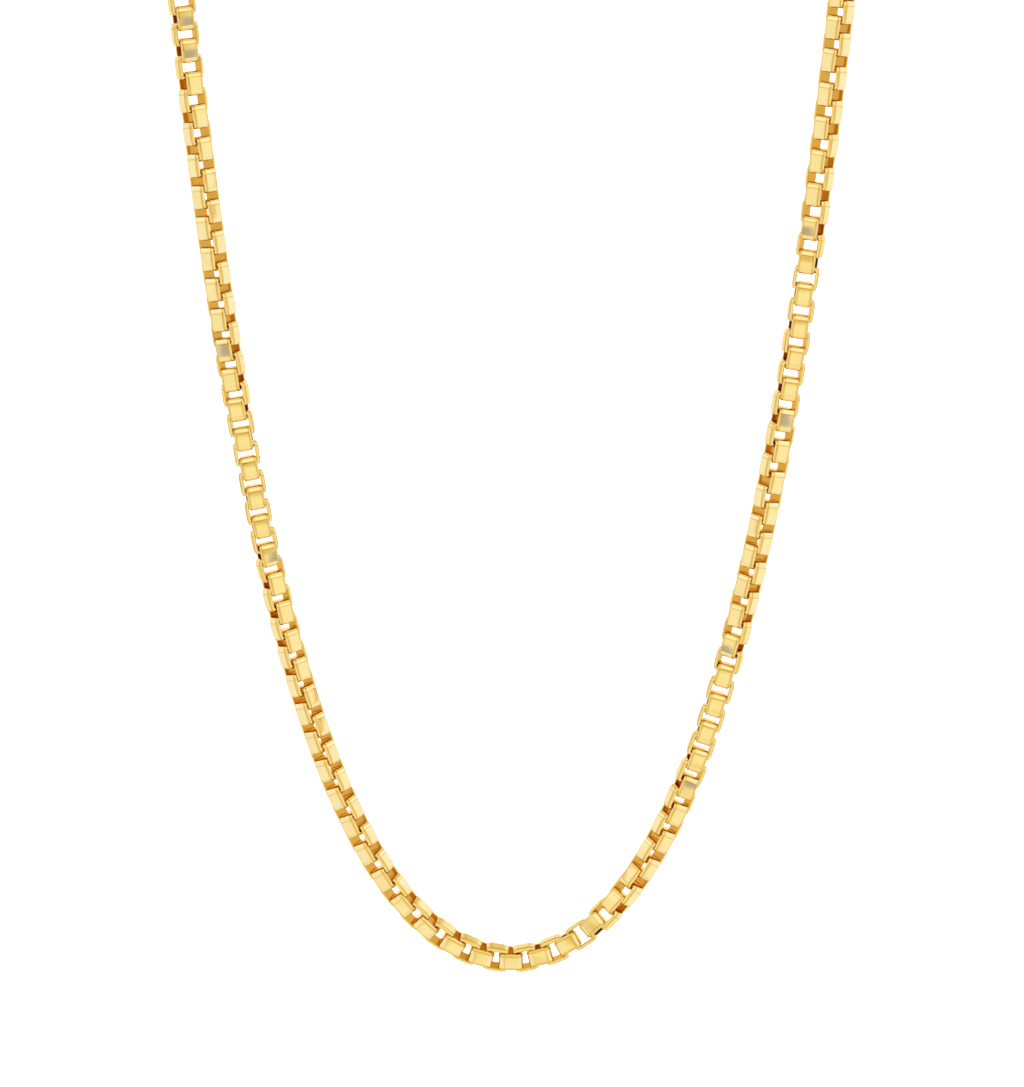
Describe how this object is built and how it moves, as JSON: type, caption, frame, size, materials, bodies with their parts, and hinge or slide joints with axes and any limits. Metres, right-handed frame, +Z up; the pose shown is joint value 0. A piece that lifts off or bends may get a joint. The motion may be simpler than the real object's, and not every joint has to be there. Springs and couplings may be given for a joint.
{
  "type": "box chain necklace",
  "caption": "Polished box chain of square links bent from flat strip, hanging as a deep U in front and closed by a plain clasp behind.",
  "frame": {"origin": "middle of the neck loop, level with the top of the shoulders' bends, where a neck stands in it", "axes": "+Z up along the neck, -Y to the front where the chain hangs, +X to the wearer's left"},
  "size_m": [0.0989, 0.0637, 0.1679],
  "materials": {
    "link_gold": "polished yellow gold plate",
    "clasp_gold": "polished yellow gold plate",
    "ring_gold": "polished yellow gold plate"
  },
  "bodies": {
    "root": {"chain": "link_gold", "clasp": "clasp_gold", "clasp_ring": "ring_gold", "end_ring": "ring_gold"}
  },
  "joints": []
}
